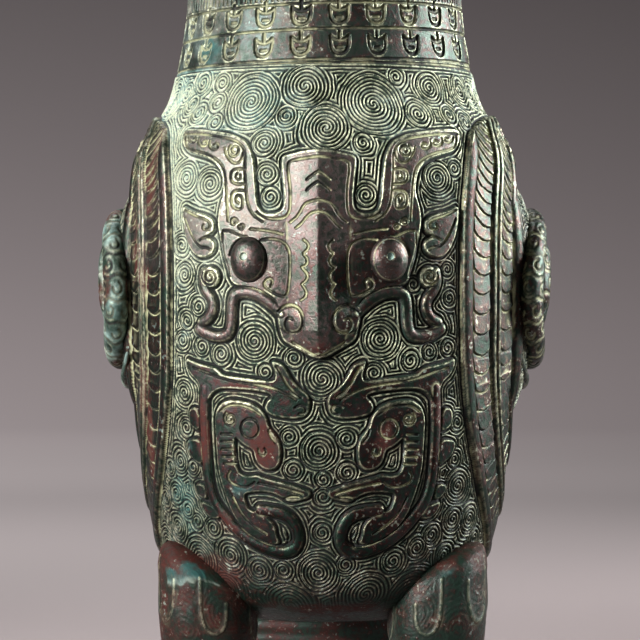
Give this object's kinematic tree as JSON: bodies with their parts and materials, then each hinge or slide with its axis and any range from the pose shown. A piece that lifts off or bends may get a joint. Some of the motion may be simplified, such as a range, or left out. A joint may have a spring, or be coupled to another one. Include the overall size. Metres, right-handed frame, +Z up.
{
  "type": "bronze owl vessel",
  "caption": "Owl-shaped bronze wine vessel on two clawed legs and a propping tail, with a relief mask, wings with coiled serpents and an owl head that lifts off as the lid.",
  "frame": {"origin": "on the ground under the middle of the bounding box", "axes": "+Z up, the owl faces -Y, +X towards the viewer's right when the chest is seen from the front"},
  "size_m": [0.2022, 0.185, 0.4409],
  "materials": {
    "bronze_green": "green patina",
    "bronze_worn": "worn patina on raised parts",
    "bronze_red": "red-brown patina",
    "bronze_dark": "dark patina"
  },
  "bodies": {
    "vessel": {"body_shell": "bronze_green", "left_wing": "bronze_green", "right_wing": "bronze_green", "tail": "bronze_green", "mask_nose": "bronze_worn", "left_mask_horn": "bronze_worn", "right_mask_horn": "bronze_worn", "left_mask_cheek": "bronze_worn", "right_mask_cheek": "bronze_worn", "left_mask_jaw": "bronze_worn", "right_mask_jaw": "bronze_worn", "left_mask_ear": "bronze_worn", "right_mask_ear": "bronze_worn", "left_mask_curl": "bronze_worn", "right_mask_curl": "bronze_worn", "left_dragon_body": "bronze_red", "right_dragon_body": "bronze_red", "left_dragon_head": "bronze_red", "right_dragon_head": "bronze_red", "left_mask_eye": "bronze_dark", "right_mask_eye": "bronze_dark", "left_serpent": "bronze_dark", "right_serpent": "bronze_dark", "left_serpent_head": "bronze_dark", "right_serpent_head": "bronze_dark", "left_leg": "bronze_dark", "right_leg": "bronze_dark", "left_foot": "bronze_dark", "right_foot": "bronze_dark"},
    "lid": {"head_lid": "bronze_green", "lid_flange": "bronze_dark", "beak": "bronze_worn", "left_lid_eye": "bronze_worn", "right_lid_eye": "bronze_worn", "left_tuft": "bronze_green", "right_tuft": "bronze_green", "knob": "bronze_dark"}
  },
  "joints": [
    {"name": "lid_lift", "type": "slide", "parent": "vessel", "child": "lid", "axis": [0, 0, 1], "range_m": [0, 0.14]}
  ]
}
